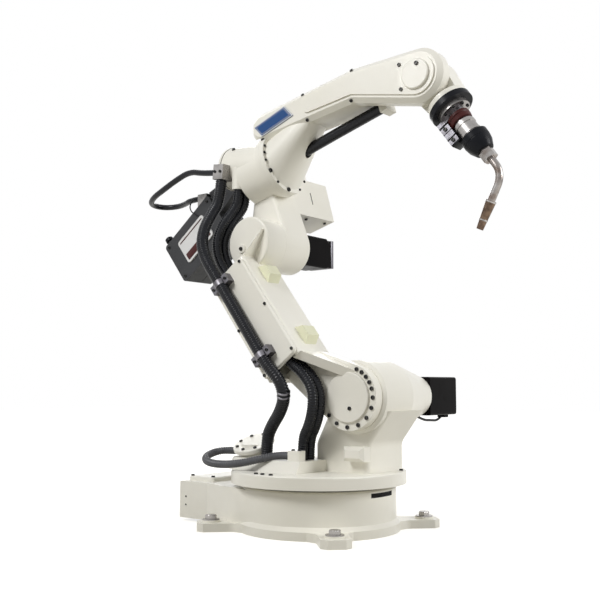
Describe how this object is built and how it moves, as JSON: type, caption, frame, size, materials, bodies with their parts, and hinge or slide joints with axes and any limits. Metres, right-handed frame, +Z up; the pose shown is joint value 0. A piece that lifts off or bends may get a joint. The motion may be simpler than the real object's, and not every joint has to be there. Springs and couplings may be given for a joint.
{
  "type": "six-axis arc-welding robot arm",
  "caption": "Floor-mounted articulated welding robot: turning base, leaning hollow upper arm with hoses, offset forearm, bending wrist and curved torch.",
  "frame": {"origin": "on the floor, on the turning axis of the base, at the centre of the floor bolts", "axes": "+X the way the arm reaches, +Y the robot's left, +Z up"},
  "size_m": [1.3745, 0.7459, 1.3936],
  "materials": {
    "cream_paint": "semi-gloss paint on castings",
    "motor_black": "satin black paint",
    "bare_metal": "plated, satin",
    "hose_black": "ribbed rubber",
    "hose_grey": "smooth conduit",
    "bearing_dark": "oiled",
    "nozzle_bronze": "heat tinted",
    "ring_black": "moulded",
    "feeder_grey": "textured paint",
    "panel_white": "printed panel, plain",
    "panel_blue": "plain blue panel, no lettering",
    "stop_yellow": "semi-gloss paint"
  },
  "bodies": {
    "base": {"base_casting": "cream_paint", "connector_box": "cream_paint", "connector_lid": "cream_paint", "cable_sockets": "bearing_dark", "bearing_ring": "bearing_dark"},
    "swivel": {"turntable": "cream_paint", "shoulder_column": "cream_paint", "shoulder_housing": "cream_paint", "j2_motor": "motor_black", "j2_motor_cap": "motor_black", "cable_tray": "cream_paint", "cable_dish": "cream_paint", "cable_grip": "cream_paint", "column_pad": "cream_paint", "dish_loop": "hose_grey", "hose_lower": "hose_black", "conduit_lower": "hose_black"},
    "upper_arm": {"upper_arm_casting": "cream_paint", "arm_cover": "cream_paint", "arm_stops": "stop_yellow", "hose_clamps": "bare_metal", "hose_mid": "hose_black", "hose_upper": "hose_black", "conduit_upper": "hose_black"},
    "elbow": {"elbow_casting": "cream_paint", "elbow_end_plate": "cream_paint", "j3_motor": "motor_black", "j3_motor_cap": "bare_metal", "elbow_side_cover": "cream_paint", "feeder_body": "feeder_grey", "feeder_panel": "panel_white", "feeder_bracket": "feeder_grey", "feeder_inlet": "bare_metal", "hose_gland": "bare_metal", "hose_loop": "hose_black"},
    "forearm": {"forearm_root": "cream_paint", "forearm_beam": "cream_paint", "forearm_cover": "cream_paint", "name_panel": "panel_blue", "wrist_cover": "cream_paint", "torch_cable": "hose_black"},
    "wrist": {"wrist_casting": "cream_paint", "wrist_ring": "ring_black"},
    "tool": {"tool_flange": "bare_metal", "torch_mount": "bare_metal", "torch_body": "bare_metal", "torch_cone": "ring_black", "torch_nut": "bare_metal", "gooseneck": "bare_metal", "nozzle": "nozzle_bronze"}
  },
  "joints": [
    {"name": "j1_turn", "type": "hinge", "parent": "base", "child": "swivel", "pos_m": [0, 0, 0], "axis": [0, 0, 1], "range_deg": [-170, 170]},
    {"name": "j2_shoulder", "type": "hinge", "parent": "swivel", "child": "upper_arm", "pos_m": [0.18, 0, 0.4], "axis": [0, 1, 0], "range_deg": [-40, 85], "deforming": ["hose_lower", "conduit_lower"]},
    {"name": "j3_elbow", "type": "hinge", "parent": "upper_arm", "child": "elbow", "pos_m": [-0.18965, 0, 0.88524], "axis": [0, -1, 0], "range_deg": [-35, 80], "deforming": ["hose_upper", "conduit_upper"]},
    {"name": "j4_roll", "type": "hinge", "parent": "elbow", "child": "forearm", "pos_m": [-0.25746, 0, 1.12171], "axis": [0.9613, 0, 0.2756], "range_deg": [-155, 155]},
    {"name": "j5_bend", "type": "hinge", "parent": "forearm", "child": "wrist", "pos_m": [0.41206, 0, 1.31369], "axis": [0, -1, 0], "range_deg": [-50, 110]},
    {"name": "j6_twist", "type": "hinge", "parent": "wrist", "child": "tool", "pos_m": [0.41206, 0, 1.31369], "axis": [0.5878, 0, -0.809], "range_deg": [-205, 205]}
  ]
}
